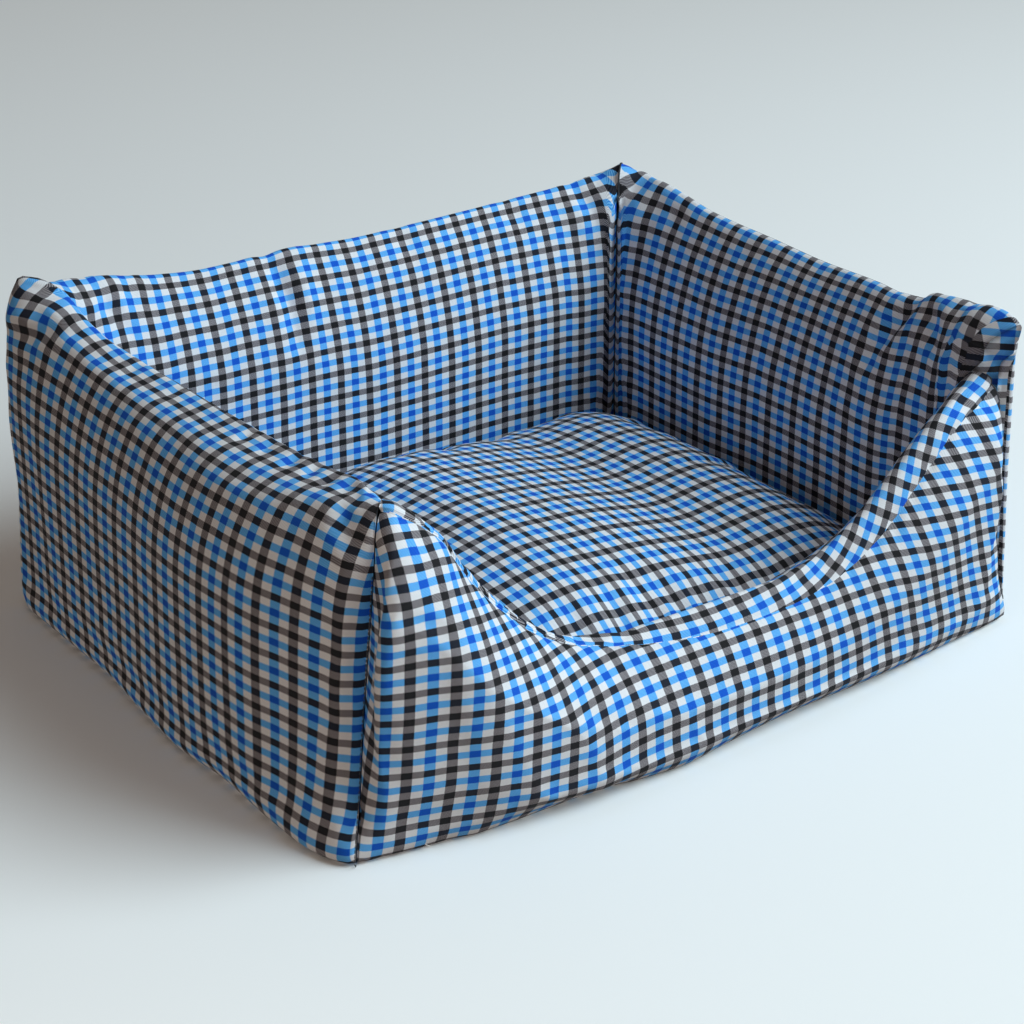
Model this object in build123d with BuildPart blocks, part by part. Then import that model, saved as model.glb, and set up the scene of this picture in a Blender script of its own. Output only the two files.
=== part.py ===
"""Pet cushion bed: four stuffed walls around a padded floor, with a loose cushion inside.

Millimetres, +Z up, front of the bed at -Y, underside of the base at Z = 0.
"""
import os

from build123d import *

# Size of the bed, measured at the corner seams
BED_WIDTH = 600
BED_DEPTH = 480
EAR_HEIGHT = 258

# Walls
WALL_THICKNESS = 38
FRONT_BACK_BULGE = 40
SIDE_BULGE = 30
BOTTOM_RADIUS = 14
TOP_ROUNDING = 0.46
CLOTH = 1.2
SEAM_THICKNESS = 2.4
SEAM_CLEARANCE = 0.3
SEAM_PROUD = 1.5

# Top line of each wall: distance from the middle of the wall, height above the floor
FRONT_TOP_LINE = (
    (0, 98),
    (60, 99),
    (110, 104),
    (145, 118),
    (180, 143),
    (205, 172),
    (228, 206),
    (250, 238),
)
BACK_TOP_LINE = ((0, 242), (60, 242), (120, 243), (165, 245), (205, 248), (248, 254))
SIDE_TOP_LINE = ((0, 242), (50, 242), (100, 243), (145, 246), (188, 253))

# Base and padded floor
BASE_THICKNESS = 1.2
BASE_INSET = 12
FLOOR_WIDTH = 520
FLOOR_DEPTH = 400
WADDING_THICKNESS = 8
FLOOR_CLOTH = 1.0

# Loose cushion: height above its underside, width, depth, corner radius
CUSHION_LIFT = 0.6
CUSHION_SEAM_HEIGHT = 36
CUSHION_LEVELS = (
    (0, 440, 320, 60),
    (10, 480, 360, 62),
    (22, 504, 384, 60),
    (36, 514, 394, 58),
    (50, 502, 382, 60),
    (62, 472, 352, 64),
    (72, 420, 304, 70),
    (79, 340, 236, 70),
    (82, 240, 160, 60),
)

HEADINGS = {"front": 0, "right": 90, "back": 180, "left": 270}


def across_plane(heading, along, inward, slant):
    """Upright plane across a wall, seen from the wall's own middle."""
    frame = Plane.XY.rotated((0, 0, heading))
    origin = frame.from_local_coords(Vector(along, inward, 0))
    across = frame.from_local_coords(Vector(slant, 1, 0))
    return Plane(origin=origin, x_dir=across, z_dir=across.cross(Vector(0, 0, 1)))


def bolster_outline(plane, width, height, inset):
    """Cross-section of a stuffed wall, shrunk by the inset on every side."""
    with BuildSketch(plane) as outline:
        with Locations((0, BASE_THICKNESS + inset)):
            Rectangle(
                width - 2 * inset,
                height - BASE_THICKNESS - 2 * inset,
                align=(Align.CENTER, Align.MIN),
            )
        corners = outline.vertices().sort_by(Axis.Y)
        fillet(corners[2:], radius=TOP_ROUNDING * (width - 2 * inset))
        corners = outline.vertices().sort_by(Axis.Y)
        fillet(corners[:2], radius=BOTTOM_RADIUS - inset)
    return outline


def wall_station(heading, along, half_length, reach, bulge, height, inset):
    """One cross-section between the corners, thicker towards the middle of the wall."""
    width = WALL_THICKNESS + bulge * (1 - (along / half_length) ** 2)
    inward = -(reach - WALL_THICKNESS) - width / 2
    plane = across_plane(heading, along, inward, 0)
    return bolster_outline(plane, width, height, inset)


def wall_end(heading, side, half_length, reach, inset):
    """Mitred cross-section at one corner, side -1 or 1 along the wall."""
    gap = SEAM_THICKNESS / 2 + SEAM_CLEARANCE + inset
    along = half_length - WALL_THICKNESS / 2 - gap * 2**0.5
    inward = -(reach - WALL_THICKNESS / 2)
    plane = across_plane(heading, side * along, inward, -side)
    return bolster_outline(plane, WALL_THICKNESS * 2**0.5, EAR_HEIGHT, inset)


def wall_body(heading, half_length, reach, bulge, top_line, inset):
    """Stuffed shape of one wall, lofted from corner to corner."""
    mirrored = [(-along, height) for along, height in reversed(top_line)]
    stations = mirrored + list(top_line[1:])
    sections = [wall_end(heading, -1, half_length, reach, inset)]
    for along, height in stations:
        section = wall_station(heading, along, half_length, reach, bulge, height, inset)
        sections.append(section)
    sections.append(wall_end(heading, 1, half_length, reach, inset))
    with BuildPart() as body:
        loft(sections=[section.sketch for section in sections], ruled=True)
    return body


def outer_half(heading, half_length, reach, bulge):
    """Upright block that covers the outward half of a wall."""
    middle = -(reach - WALL_THICKNESS / 2)
    with BuildPart() as block:
        with BuildSketch(Plane.XY.rotated((0, 0, heading))):
            with BuildLine():
                arc = ThreePointArc(
                    (-half_length - 20, middle),
                    (0, middle - bulge / 2),
                    (half_length + 20, middle),
                )
                Polyline(
                    arc @ 1,
                    (half_length + 20, -reach - 80),
                    (-half_length - 20, -reach - 80),
                    arc @ 0,
                )
            make_face()
        extrude(amount=EAR_HEIGHT + 20)
    return block


def save(part, name):
    """Label one solid and write it to its own STEP file."""
    part.label = name
    export_step(part, "parts/" + name + ".step")


def make_wall(side, half_length, reach, bulge, top_line):
    """Outer panel, inner panel and filling of one wall."""
    heading = HEADINGS[side]
    cover = wall_body(heading, half_length, reach, bulge, top_line, 0)
    hollow = wall_body(heading, half_length, reach, bulge, top_line, CLOTH)
    half = outer_half(heading, half_length, reach, bulge)
    with BuildPart() as outer_panel:
        add(cover.part)
        add(half.part, mode=Mode.INTERSECT)
        add(hollow.part, mode=Mode.SUBTRACT)
    with BuildPart() as inner_panel:
        add(cover.part)
        add(half.part, mode=Mode.SUBTRACT)
        add(hollow.part, mode=Mode.SUBTRACT)
    save(outer_panel.part, side + "_outer_panel")
    save(inner_panel.part, side + "_inner_panel")
    save(hollow.part, side + "_filling")


def make_corner_seam(name, heading, half_length, reach):
    """Upright seam where two walls are joined, at the right-hand end of a wall."""
    along = half_length - WALL_THICKNESS / 2
    inward = -(reach - WALL_THICKNESS / 2)
    width = WALL_THICKNESS * 2**0.5 + 2 * SEAM_PROUD
    plane = across_plane(heading, along, inward, -1)
    outline = bolster_outline(plane, width, EAR_HEIGHT + SEAM_PROUD, 0)
    with BuildPart() as seam:
        extrude(outline.sketch, amount=SEAM_THICKNESS / 2, both=True)
    save(seam.part, name)


def make_base():
    """Underside, wadding and floor cloth."""
    x = BED_WIDTH / 2 - BASE_INSET
    y = BED_DEPTH / 2 - BASE_INSET
    with BuildPart() as base_panel:
        with BuildSketch():
            with BuildLine():
                ThreePointArc((-x, -y), (0, -y - FRONT_BACK_BULGE), (x, -y))
                ThreePointArc((x, -y), (x + SIDE_BULGE, 0), (x, y))
                ThreePointArc((x, y), (0, y + FRONT_BACK_BULGE), (-x, y))
                ThreePointArc((-x, y), (-x - SIDE_BULGE, 0), (-x, -y))
            make_face()
        extrude(amount=BASE_THICKNESS)
    with BuildPart() as base_wadding:
        with BuildSketch(Plane.XY.offset(BASE_THICKNESS)):
            RectangleRounded(FLOOR_WIDTH, FLOOR_DEPTH, 12)
        extrude(amount=WADDING_THICKNESS)
    with BuildPart() as floor_panel:
        with BuildSketch(Plane.XY.offset(BASE_THICKNESS + WADDING_THICKNESS)):
            RectangleRounded(FLOOR_WIDTH, FLOOR_DEPTH, 12)
        extrude(amount=FLOOR_CLOTH)
    save(base_panel.part, "base_panel")
    save(base_wadding.part, "base_wadding")
    save(floor_panel.part, "floor_panel")


def cushion_body(inset):
    """Puffy rounded shape of the loose cushion, shrunk by the inset."""
    bottom = BASE_THICKNESS + WADDING_THICKNESS + FLOOR_CLOTH + CUSHION_LIFT
    squeeze = 1 - 2 * inset / CUSHION_LEVELS[-1][0]
    sections = []
    for level, width, depth, radius in CUSHION_LEVELS:
        with BuildSketch(Plane.XY.offset(bottom + inset + level * squeeze)) as section:
            RectangleRounded(width - 2 * inset, depth - 2 * inset, radius - inset)
        sections.append(section.sketch)
    with BuildPart() as body:
        loft(sections=sections, ruled=True)
    return body


def make_cushion():
    """Top panel, bottom panel and filling of the loose cushion."""
    cover = cushion_body(0)
    hollow = cushion_body(CLOTH)
    seam = BASE_THICKNESS + WADDING_THICKNESS + FLOOR_CLOTH + CUSHION_LIFT + CUSHION_SEAM_HEIGHT
    with BuildPart() as top_panel:
        add(cover.part)
        add(hollow.part, mode=Mode.SUBTRACT)
        split(bisect_by=Plane.XY.offset(seam), keep=Keep.TOP)
    with BuildPart() as bottom_panel:
        add(cover.part)
        add(hollow.part, mode=Mode.SUBTRACT)
        split(bisect_by=Plane.XY.offset(seam), keep=Keep.BOTTOM)
    save(top_panel.part, "cushion_top_panel")
    save(bottom_panel.part, "cushion_bottom_panel")
    save(hollow.part, "cushion_filling")


def main():
    os.makedirs("parts", exist_ok=True)
    half_width = BED_WIDTH / 2
    half_depth = BED_DEPTH / 2
    make_base()
    make_wall("front", half_width, half_depth, FRONT_BACK_BULGE, FRONT_TOP_LINE)
    make_wall("right", half_depth, half_width, SIDE_BULGE, SIDE_TOP_LINE)
    make_wall("back", half_width, half_depth, FRONT_BACK_BULGE, BACK_TOP_LINE)
    make_wall("left", half_depth, half_width, SIDE_BULGE, SIDE_TOP_LINE)
    make_corner_seam("front_right_corner_seam", HEADINGS["front"], half_width, half_depth)
    make_corner_seam("back_right_corner_seam", HEADINGS["right"], half_depth, half_width)
    make_corner_seam("back_left_corner_seam", HEADINGS["back"], half_width, half_depth)
    make_corner_seam("front_left_corner_seam", HEADINGS["left"], half_depth, half_width)
    make_cushion()


main()
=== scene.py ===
"""Looks of the pet cushion bed: four stuffed check-cloth walls around a loose cushion.

Lengths in the shape code are millimetres, turned into metres when a mesh is made.
"""
import math

import bpy
import numpy as np
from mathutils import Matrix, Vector


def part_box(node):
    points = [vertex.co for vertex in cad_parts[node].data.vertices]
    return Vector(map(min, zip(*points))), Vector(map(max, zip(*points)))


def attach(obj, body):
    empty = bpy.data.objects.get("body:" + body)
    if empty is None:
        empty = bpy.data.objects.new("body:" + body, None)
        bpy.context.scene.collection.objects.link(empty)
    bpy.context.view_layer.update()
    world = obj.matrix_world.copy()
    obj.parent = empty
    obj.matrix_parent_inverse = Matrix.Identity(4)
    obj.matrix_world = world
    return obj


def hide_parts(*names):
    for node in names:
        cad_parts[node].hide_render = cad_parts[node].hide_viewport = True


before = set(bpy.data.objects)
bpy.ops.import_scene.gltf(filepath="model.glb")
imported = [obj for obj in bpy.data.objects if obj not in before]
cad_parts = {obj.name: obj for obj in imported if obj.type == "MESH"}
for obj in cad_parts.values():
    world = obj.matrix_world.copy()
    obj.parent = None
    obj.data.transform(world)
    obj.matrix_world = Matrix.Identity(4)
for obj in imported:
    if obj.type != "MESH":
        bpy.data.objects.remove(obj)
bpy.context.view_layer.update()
MM = 0.001


# ---------------------------------------------------------------- places from the CAD
def box_mm(node):
    low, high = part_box(node)
    return np.array(low) / MM, np.array(high) / MM


SEAM_LOW, SEAM_HIGH = box_mm("front_left_corner_seam")
SEAM_XY = (SEAM_LOW[:2] + SEAM_HIGH[:2]) / 2
WALL = 38.0  # thickness of a wall at its foot, with the corner seams in its middle
HALF_W = -SEAM_XY[0] + WALL / 2
HALF_D = -SEAM_XY[1] + WALL / 2
FLOOR_TOP = box_mm("floor_panel")[1][2]
BASE_TOP = box_mm("base_panel")[1][2]
UNDER = BASE_TOP + 0.15  # lowest place of the wall cloth, just above the base cloth
# How far the front left corner seam leans to the right going up: height, shift.
SEAM_LEAN = [(0, 3), (60, 4), (130, 9), (173, 14), (210, 18), (250, 20)]


# ---------------------------------------------------------------- small maths
def smooth(keys, x):
    """Smooth curve through (x, value) keys, with no overshoot (monotone cubic)."""
    keys = sorted(keys)
    xs = np.array([k[0] for k in keys], float)
    ys = np.array([k[1] for k in keys], float)
    x = np.clip(np.asarray(x, float), xs[0], xs[-1])
    if len(xs) == 1:
        return np.full_like(x, ys[0])
    h = np.diff(xs)
    d = np.diff(ys) / h
    m = np.zeros(len(xs))
    m[0], m[-1] = d[0], d[-1]
    for i in range(1, len(xs) - 1):
        if d[i - 1] * d[i] > 0:
            w1, w2 = 2 * h[i] + h[i - 1], h[i] + 2 * h[i - 1]
            m[i] = (w1 + w2) / (w1 / d[i - 1] + w2 / d[i])
    i = np.clip(np.searchsorted(xs, x) - 1, 0, len(h) - 1)
    t = (x - xs[i]) / h[i]
    a = (1 + 2 * t) * (1 - t) ** 2 * ys[i] + t * (1 - t) ** 2 * h[i] * m[i]
    b = t * t * (3 - 2 * t) * ys[i + 1] + t * t * (t - 1) * h[i] * m[i + 1]
    return a + b


def step(low, high, x):
    t = np.clip((x - low) / (high - low), 0, 1)
    return t * t * (3 - 2 * t)


def bump(x, centre, width):
    return np.exp(-(((x - centre) / width) ** 2))


def lengths(vectors, keep=False):
    """Length of each vector in the last axis."""
    return np.linalg.norm(vectors, axis=-1, keepdims=keep)


def running(line):
    """Distance of every point of an open line from its first point."""
    return np.concatenate([[0], np.cumsum(lengths(np.diff(line, axis=0)))])


def closed_curve(points, samples):
    """Catmull-Rom curve through closed rows of points: (rows, count, dims)."""
    p0, p1 = np.roll(points, 1, 1), points
    p2, p3 = np.roll(points, -1, 1), np.roll(points, -2, 1)
    t = np.linspace(0, 1, samples, endpoint=False)[None, None, :, None]
    p0, p1, p2, p3 = (p[:, :, None, :] for p in (p0, p1, p2, p3))
    curve = 0.5 * (
        2 * p1
        + (p2 - p0) * t
        + (2 * p0 - 5 * p1 + 4 * p2 - p3) * t**2
        + (3 * p1 - p0 - 3 * p2 + p3) * t**3
    )
    return curve.reshape(len(points), -1, points.shape[2])


def resample(line, count):
    """Evenly spaced points along one open line."""
    along = running(line)
    at = np.linspace(0, along[-1], count)
    return np.stack([np.interp(at, along, line[:, k]) for k in range(line.shape[1])], 1)


# ---------------------------------------------------------------- walls
# Every profile is keyed by the distance along the wall from its middle, seen from outside:
# to the right is positive. "out" is measured from the middle of the bed.
#   ridge, ridge_out    height and place of the top line
#   outer, foot, inner  place of the outer face, of its foot on the floor and of the inner face
#   outer_drop, inner_drop  how far below the ridge the rounded slope meets each face
#   seam                how far the stitched line lies below the ridge on the outside
#   slide               end and lean of a corner seam that isn't upright
#   grow, cap           how much the cloth is let out, and how far the filling may push it
#   stretch, lean, dip  how the check was pulled along, skewed and lowered
#   power, dome         roundness of the slopes, and bulge of an open end
WALLS = {
    "front": dict(
        outward=(0, -1), half=HALF_W, reach=HALF_D, rings=168,
        ridge=[(-281, 246), (-270, 245), (-256, 236), (-238, 214), (-215, 185), (-184, 150),
               (-150, 121), (-115, 105), (-62, 97), (0, 96), (60, 98), (100, 104), (125, 113),
               (155, 130), (184, 153), (208, 171), (232, 187), (256, 200), (281, 209)],
        ridge_out=[(-281, 222), (-262, 232), (-230, 240), (-150, 241), (0, 241), (150, 238),
                   (230, 231), (262, 226), (281, 221)],
        outer=[(-281, 234), (-276, 243), (-270, 252), (-264, 261), (-258, 268), (-252, 274),
               (-244, 280), (-234, 286), (-218, 292), (-195, 296), (-150, 296), (-110, 292),
               (-50, 289), (0, 285), (60, 281), (127, 276), (182, 271), (215, 266), (243, 258),
               (262, 247), (274, 239), (281, 233)],
        outer_drop=[(-281, 26), (-262, 52), (-235, 70), (-190, 70), (-120, 62), (0, 60), (120, 66),
                    (190, 72), (240, 70), (265, 50), (281, 26)],
        foot=[(-281, 248), (-262, 254), (-245, 260), (-225, 267), (-188, 269), (-120, 270),
              (-88, 275), (-55, 277), (-11, 271), (33, 265), (76, 261), (127, 259), (182, 255),
              (230, 249), (262, 243), (281, 238)],
        inner=[(-281, 208), (-260, 202), (-180, 200), (0, 200), (180, 200), (260, 202),
               (281, 208)],
        inner_drop=[(-281, 26), (-250, 45), (0, 45), (250, 45), (281, 26)],
        seam=[(-281, 6), (-150, 6), (-100, 9), (-60, 15), (0, 21), (120, 22), (200, 19),
              (281, 12)],
        slide=(-1, SEAM_LEAN), grow=0.004, cap=3,
        lean=[(-281, 0), (40, 0), (140, 0.22), (220, 0.34), (281, 0.30)],
        dip=[(-281, 0), (140, 0), (200, 7), (281, 19)], stretch=(1.02, 1.0),
    ),
    "left": dict(
        outward=(-1, 0), half=HALF_D, reach=HALF_W, rings=140,
        ridge=[(-221, 276), (-210, 274), (-196, 265), (-175, 252), (-140, 241), (-60, 236),
               (0, 235), (100, 236), (150, 239), (195, 243), (221, 243)],
        ridge_out=[(-221, 291), (-213, 290), (-205, 287), (-190, 281), (-150, 271), (0, 264),
                   (120, 264), (170, 269), (196, 277), (221, 283)],
        outer=[(-221, 298), (-214, 303), (-205, 308), (-190, 313), (-150, 320), (-93, 324),
               (-11, 331), (57, 336), (107, 338), (140, 338), (160, 336), (176, 331), (190, 324),
               (202, 314), (212, 303), (221, 294)],
        outer_drop=[(-221, 40), (-205, 66), (-180, 105), (-140, 130), (0, 128), (100, 122),
                    (160, 110), (195, 85), (212, 55), (221, 26)],
        foot=[(-221, 297), (-195, 306), (-146, 308), (-93, 309), (-11, 318), (57, 324),
              (107, 321), (153, 324), (190, 326), (205, 320), (214, 314), (221, 308)],
        inner=[(-221, 268), (-200, 260), (-100, 252), (0, 250), (100, 252), (200, 261),
               (221, 268)],
        inner_drop=[(-221, 30), (-190, 60), (0, 70), (190, 60), (221, 26)],
        slide=(1, SEAM_LEAN), grow=0.006, cap=3, stretch=(1.11, 1.0), power=2.9,
    ),
    "back": dict(
        outward=(0, 1), half=HALF_W, reach=HALF_D, rings=158,
        ridge=[(-281, 266), (-262, 259), (-217, 249), (-121, 244), (-19, 241), (51, 244),
               (90, 243), (125, 243), (175, 248), (214, 257), (249, 264), (281, 270)],
        ridge_out=[(-281, 226), (-250, 235), (-180, 240), (0, 241), (180, 238), (250, 232),
                   (281, 224)],
        outer=[(-281, 238), (-270, 248), (-250, 260), (-190, 273), (0, 284), (190, 272),
               (240, 260), (255, 253), (270, 245), (281, 239)],
        outer_drop=[(-281, 30), (-250, 80), (-150, 110), (0, 115), (150, 110), (250, 70),
                    (281, 40)],
        foot=[(-281, 234), (-250, 248), (0, 262), (250, 249), (281, 237)],
        inner=[(-281, 208), (-264, 202), (-180, 199), (0, 199), (180, 199), (264, 202),
               (281, 208)],
        inner_drop=[(-281, 30), (-262, 60), (-220, 98), (-120, 108), (0, 104), (100, 88),
                    (200, 62), (281, 30)],
        grow=0.006, cap=4, stretch=(0.91, 0.97),
    ),
    "right": dict(
        outward=(1, 0), half=HALF_D, reach=HALF_W, rings=140,
        ridge=[(-221, 257), (-210, 257), (-190, 252), (-157, 245), (-138, 239), (-122, 233),
               (-108, 232), (-80, 233), (-21, 232), (40, 235), (117, 240), (171, 252),
               (221, 266)],
        ridge_out=[(-221, 294), (-205, 295), (-190, 297), (-160, 300), (0, 306), (150, 303),
                   (200, 295), (221, 284)],
        outer=[(-221, 299), (-214, 304), (-205, 308), (-190, 314), (-120, 325), (0, 332),
               (150, 325), (200, 315), (214, 308), (221, 300)],
        outer_drop=[(-221, 24), (-205, 50), (-170, 80), (0, 95), (170, 90), (205, 60), (221, 30)],
        foot=[(-221, 296), (-190, 303), (0, 314), (190, 303), (221, 292)],
        inner=[(-221, 268), (-200, 262), (-100, 259), (0, 259), (100, 259), (200, 262),
               (221, 268)],
        inner_drop=[(-221, 28), (-200, 60), (-120, 105), (0, 134), (120, 130), (190, 100),
                    (221, 30)],
        dome=14, grow=0.006, cap=4, stretch=(1.0, 0.95), power=1.95,
    ),
}
AROUND = 132  # points in one ring, from the middle of the foot and up the outer face
RIDGE_AT = AROUND // 2
SEAM_STEPS = 8  # points between the stitched line and the ridge
ARCH_POWER = 1.75
CURVE_SAMPLES = 24
INNER_PLAY = 3.5  # how far the inner face may come in over the floor pad
INNER_PLAY_HIGH = 9  # and how much further above the cushion


def arch(ridge_out, face_out, low, degrees, power):
    """Point of the rounded slope from a wall's face (0 degrees) up to its ridge (90)."""
    a = math.radians(degrees)
    across = math.cos(a) ** (2 / power)
    up = math.sin(a) ** (2 / power)
    return np.stack([ridge_out + (face_out - ridge_out) * across, low + (1 - low) * up], 1)


def wall_grid(spec):
    """Rings of points round one stuffed wall, as (along, out, height)."""
    half, reach, rings = spec["half"], spec["reach"], spec["rings"]
    end = half - WALL / 2
    fine = np.linspace(-end, end, 2000)
    line = np.stack([fine, smooth(spec["ridge"], fine)], 1)
    top = resample(line, rings)
    along = top[:, 0]
    base = np.linspace(-end, end, rings)
    tangent = np.gradient(top, axis=0)
    tangent /= np.linalg.norm(tangent, axis=1, keepdims=True)
    normal = np.stack([-tangent[:, 1], tangent[:, 0]], 1)
    upright = 1 - step(4, 34, end - abs(along))
    normal = normal * (1 - upright)[:, None] + np.array([0, 1]) * upright[:, None]
    normal /= np.linalg.norm(normal, axis=1, keepdims=True)
    rise = np.linalg.norm(top - np.stack([base, 0 * base], 1), axis=1)
    profile = {k: smooth(spec[k], along) for k in ("ridge_out", "inner")}
    profile["outer"] = smooth(spec["outer"], 0.5 * (along + base))
    profile["foot"] = smooth(spec["foot"], base)
    out, outer, foot, inner = (profile[k] for k in ("ridge_out", "outer", "foot", "inner"))
    outer_low = 1 - smooth(spec["outer_drop"], along) / rise
    inner_low = 1 - smooth(spec["inner_drop"], along) / rise
    middle = [np.stack([(foot + inner) / 2, 0 * rise], 1)]
    heel = [
        np.stack([foot - 3, 0 * rise], 1),
        np.stack([foot + 7, 4.8 / rise], 1),
        np.stack([foot + 0.7 * (outer - foot) + 4, np.maximum(14 / rise, 0.22 * outer_low)], 1),
        np.stack([foot + 0.96 * (outer - foot) + 1, 0.56 * outer_low], 1),
    ]
    toe = [
        np.stack([inner, np.minimum(0.38, inner_low - 0.05)], 1),
        np.stack([inner + 1, 0 * rise + 0.12], 1),
        np.stack([inner + 8, 0 * rise + 0.01], 1),
    ]
    power = spec.get("power", ARCH_POWER)
    shoulder = [arch(out, outer, outer_low, a, power) for a in range(0, 90, 15)]
    brow = [arch(out, inner, inner_low, a, power) for a in range(75, -1, -15)]
    ridge_index = (1 + len(heel) + len(shoulder)) * CURVE_SAMPLES
    crest = [np.stack([out, 0 * rise + 1], 1)]
    controls = np.stack(middle + heel + shoulder + crest + brow + toe, 1)
    curve = closed_curve(controls, CURVE_SAMPLES)
    seam = smooth(spec["seam"], along) if "seam" in spec else None
    points = np.zeros((rings, AROUND, 3))
    for i in range(rings):
        flat = curve[i] * np.array([1, rise[i]])
        flat = np.vstack([flat, flat[:1]])
        outside = flat[: ridge_index + 1]
        if seam is None:
            outside = resample(outside, RIDGE_AT + 1)
        else:
            low, high = cut(outside, seam[i])
            low = resample(low, RIDGE_AT - SEAM_STEPS + 1)
            outside = np.vstack([low[:-1], resample(high, SEAM_STEPS + 1)])
        inside = resample(flat[ridge_index:], AROUND - RIDGE_AT + 1)
        ring = np.vstack([outside[:-1], inside[:-1]])
        tau = ring[:, 1] / rise[i]
        b0, b3 = np.array([base[i], 0.0]), top[i]
        b1, b2 = b0 + [0, 0.42 * rise[i]], b3 - normal[i] * 0.42 * rise[i]
        t = np.clip(tau, 0, 1.02)[:, None]
        bez = (1 - t) ** 3 * b0 + 3 * t * (1 - t) ** 2 * b1 + 3 * t * t * (1 - t) * b2 + t**3 * b3
        points[i, :, 0] = bez[:, 0]
        points[i, :, 1] = ring[:, 0]
        points[i, :, 2] = np.maximum(bez[:, 1], UNDER)
    mitre = 1 - step(0, 52, end - abs(base))
    centre = reach - WALL / 2
    points[:, :, 0] += (np.sign(base) * mitre)[:, None] * (points[:, :, 1] - centre)
    if "slide" in spec:
        side, lean = spec["slide"]
        blend = 1 - step(0, 110, end - side * base)
        shift = smooth(lean, points[:, :, 2]) * blend[:, None] / 2
        points[:, :, 0] += shift
        points[:, :, 1] -= side * shift
    return points


def cut(line, back):
    """Split an open line at a distance back from its last point."""
    gaps = np.linalg.norm(np.diff(line, axis=0), axis=1)
    left = np.concatenate([[0], np.cumsum(gaps[::-1])])[::-1]
    i = int(np.nonzero(left > back)[0][-1])
    t = (left[i] - back) / (left[i] - left[i + 1])
    middle = line[i] + t * (line[i + 1] - line[i])
    return np.vstack([line[: i + 1], middle]), np.vstack([middle, line[i + 1 :]])


def hold_in(spec, points):
    """Keep the cloth on its own side of the corner seams, off the cushion and off the floor."""
    end = spec["half"] - WALL / 2
    centre = spec["reach"] - WALL / 2
    along, out, height = points[..., 0], points[..., 1], points[..., 2]
    room = end + (out - centre) - 0.5
    for sign in (-1, 1):
        limit = room.copy()
        if "slide" in spec and spec["slide"][0] == sign:
            limit += sign * smooth(spec["slide"][1], height)
        if "dome" in spec and sign < 0:
            limit += 40 * step(206, 222, height)
        past = np.maximum(sign * along - limit, 0)
        along -= sign * past
    inner_limit = spec["reach"] - WALL - INNER_PLAY - INNER_PLAY_HIGH * step(95, 130, height)
    out[...] = np.maximum(out, inner_limit)
    height[...] = np.maximum(height, UNDER)
    return points


def turn(spec, points):
    """From wall places (along, out, height) to bed places (x, y, z), or back: it undoes itself."""
    ox, oy = spec["outward"]
    turned = points.copy()
    turned[..., 0] = -oy * points[..., 0] + ox * points[..., 1]
    turned[..., 1] = ox * points[..., 0] + oy * points[..., 1]
    return turned


# ---------------------------------------------------------------- flat cloth
FLAT_PASSES = 8  # how often the springs stop to be evened out
EVEN_ROUNDS = 8
SPRING_PULL = 1.6
FOOT_HEIGHT = 2  # above this the cloth has left the floor
MEETING = 12  # points each side of the ridge over which the two faces' threads meet


def relax_flat(points, flat, edges, rounds):
    """Spring the flat cloth until its threads are as long as on the stuffed shape."""
    i, j = edges[:, 0], edges[:, 1]
    target = np.linalg.norm(points[i] - points[j], axis=1)
    count = np.bincount(np.concatenate([i, j]), minlength=len(points)).astype(float)
    for _ in range(rounds):
        d = flat[j] - flat[i]
        length = np.linalg.norm(d, axis=1)
        move = d * (0.5 * (length - target) / np.maximum(length, 1e-6))[:, None]
        for k in (0, 1):
            shift = np.bincount(i, move[:, k], len(flat)) - np.bincount(j, move[:, k], len(flat))
            flat[:, k] += SPRING_PULL * shift / count
    return flat


def grid_edges(rows, columns):
    """Edges and diagonals of an open grid."""
    index = np.arange(rows * columns).reshape(rows, columns)
    pairs = [
        (index[:-1], index[1:]),
        (index[:, :-1], index[:, 1:]),
        (index[:-1, :-1], index[1:, 1:]),
        (index[1:, :-1], index[:-1, 1:]),
    ]
    return np.concatenate([np.stack([a.ravel(), b.ravel()], 1) for a, b in pairs])


def steady(values, reach=9):
    """Average of each value with its neighbours along a wall."""
    wide = np.pad(values, reach, mode="reflect", reflect_type="odd")
    return np.convolve(wide, np.ones(2 * reach + 1) / (2 * reach + 1), "valid")


def even_out(field):
    """Smooth a field over the grid, so that the flat cloth has no small buckles."""
    for _ in range(2 * EVEN_ROUNDS):
        wide = np.pad(field, ((1, 1), (0, 0), (0, 0)), mode="reflect", reflect_type="odd")
        field = 0.25 * wide[:-2] + 0.5 * wide[1:-1] + 0.25 * wide[2:]
        field = field.transpose(1, 0, 2)
    return field


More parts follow.
